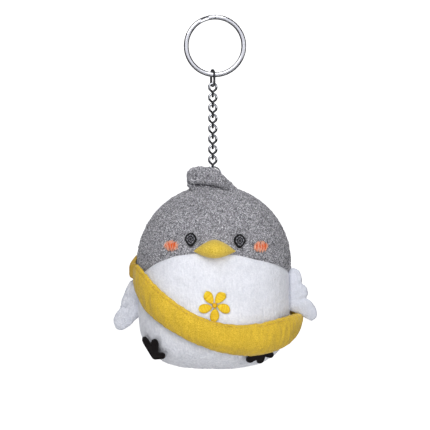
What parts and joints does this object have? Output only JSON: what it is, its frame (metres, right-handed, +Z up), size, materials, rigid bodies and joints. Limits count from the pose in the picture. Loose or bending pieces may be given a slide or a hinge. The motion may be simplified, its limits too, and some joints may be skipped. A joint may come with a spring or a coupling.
{
  "type": "plush keychain",
  "caption": "Stuffed bird charm with a padded sash, hung by a jump ring and a short curb chain from a steel split ring.",
  "frame": {"origin": "inside top of the split ring, where it hangs on a hook or a finger", "axes": "+X to the right as seen from the front, -Y is the way the bird faces, +Z is up along the hanging chain"},
  "size_m": [0.0975, 0.0758, 0.1703],
  "materials": {
    "ring_steel": "bright nickel plate on flat spring wire",
    "chain_steel": "bright nickel plate on round wire",
    "loop_tape": "woven tape",
    "grey_boucle": "salt and pepper looped pile",
    "white_plush": "short cut-pile plush",
    "fibre_filling": "loose polyester fibre",
    "beak_velour": "short velour",
    "eye_thread": "satin stitch",
    "cheek_thread": "satin stitch",
    "motif_thread": "satin stitch",
    "black_felt": "felt with a stitched edge",
    "sash_velour": "short velour",
    "strap_velour": "short velour"
  },
  "bodies": {
    "split_ring": {"split_ring": "ring_steel"},
    "top_link": {"top_link": "chain_steel"},
    "chain_link_1": {"chain_link_1": "chain_steel"},
    "chain_link_2": {"chain_link_2": "chain_steel"},
    "chain_link_3": {"chain_link_3": "chain_steel"},
    "chain_link_4": {"chain_link_4": "chain_steel"},
    "chain_link_5": {"chain_link_5": "chain_steel"},
    "chain_link_6": {"chain_link_6": "chain_steel"},
    "chain_link_7": {"chain_link_7": "chain_steel"},
    "chain_link_8": {"chain_link_8": "chain_steel"},
    "jump_ring": {"jump_ring": "chain_steel"},
    "plush": {"hanging_loop": "loop_tape", "head_front_panel": "grey_boucle", "head_back_panel": "grey_boucle", "belly_front_panel": "white_plush", "belly_back_panel": "white_plush", "base_panel": "white_plush", "stuffing": "fibre_filling", "crest": "grey_boucle", "beak": "beak_velour", "left_eye": "eye_thread", "right_eye": "eye_thread", "left_cheek": "cheek_thread", "right_cheek": "cheek_thread", "chest_motif": "motif_thread", "left_foot": "black_felt", "right_foot": "black_felt", "sash_crescent": "sash_velour", "sash_back_strap": "strap_velour"},
    "left_wing": {"left_wing": "white_plush"},
    "right_wing": {"right_wing": "white_plush"}
  },
  "joints": [
    {"name": "top_link_swing", "type": "hinge", "parent": "split_ring", "child": "top_link", "pos_m": [-0.0011, 0, -0.02643], "axis": [1, 0, 0], "range_deg": [-70, 70]},
    {"name": "link_1_swing", "type": "hinge", "parent": "top_link", "child": "chain_link_1", "pos_m": [-0.0011, 0, -0.0319], "axis": [0, 1, 0], "range_deg": [-40, 40]},
    {"name": "link_2_swing", "type": "hinge", "parent": "chain_link_1", "child": "chain_link_2", "pos_m": [-0.0011, 0, -0.0356], "axis": [-1, 0, 0], "range_deg": [-40, 40]},
    {"name": "link_3_swing", "type": "hinge", "parent": "chain_link_2", "child": "chain_link_3", "pos_m": [-0.0011, 0, -0.04186], "axis": [0, -1, 0], "range_deg": [-40, 40]},
    {"name": "link_4_swing", "type": "hinge", "parent": "chain_link_3", "child": "chain_link_4", "pos_m": [-0.0011, 0, -0.04557], "axis": [1, 0, 0], "range_deg": [-40, 40]},
    {"name": "link_5_swing", "type": "hinge", "parent": "chain_link_4", "child": "chain_link_5", "pos_m": [-0.0011, 0, -0.05181], "axis": [0, 1, 0], "range_deg": [-40, 40]},
    {"name": "link_6_swing", "type": "hinge", "parent": "chain_link_5", "child": "chain_link_6", "pos_m": [-0.0011, 0, -0.05552], "axis": [-1, 0, 0], "range_deg": [-40, 40]},
    {"name": "link_7_swing", "type": "hinge", "parent": "chain_link_6", "child": "chain_link_7", "pos_m": [-0.0011, 0, -0.06177], "axis": [0, -1, 0], "range_deg": [-40, 40]},
    {"name": "link_8_swing", "type": "hinge", "parent": "chain_link_7", "child": "chain_link_8", "pos_m": [-0.0011, 0, -0.06549], "axis": [1, 0, 0], "range_deg": [-40, 40]},
    {"name": "jump_ring_swing", "type": "hinge", "parent": "chain_link_8", "child": "jump_ring", "pos_m": [-0.0011, 0, -0.07173], "axis": [0, 1, 0], "range_deg": [-40, 40]},
    {"name": "plush_swing", "type": "hinge", "parent": "jump_ring", "child": "plush", "pos_m": [-0.0011, 0, -0.07844], "axis": [1, 0, 0], "range_deg": [-10, 30]},
    {"name": "left_wing_flap", "type": "hinge", "parent": "plush", "child": "left_wing", "pos_m": [-0.0384, 0.0045, -0.137], "axis": [0, 0, 1], "range_deg": [-10, 30], "stiffness_Nm_per_rad": 0.0005},
    {"name": "right_wing_flap", "type": "hinge", "parent": "plush", "child": "right_wing", "pos_m": [0.0374, -0.005, -0.131], "axis": [0, 0, -1], "range_deg": [-10, 25], "stiffness_Nm_per_rad": 0.0005}
  ]
}
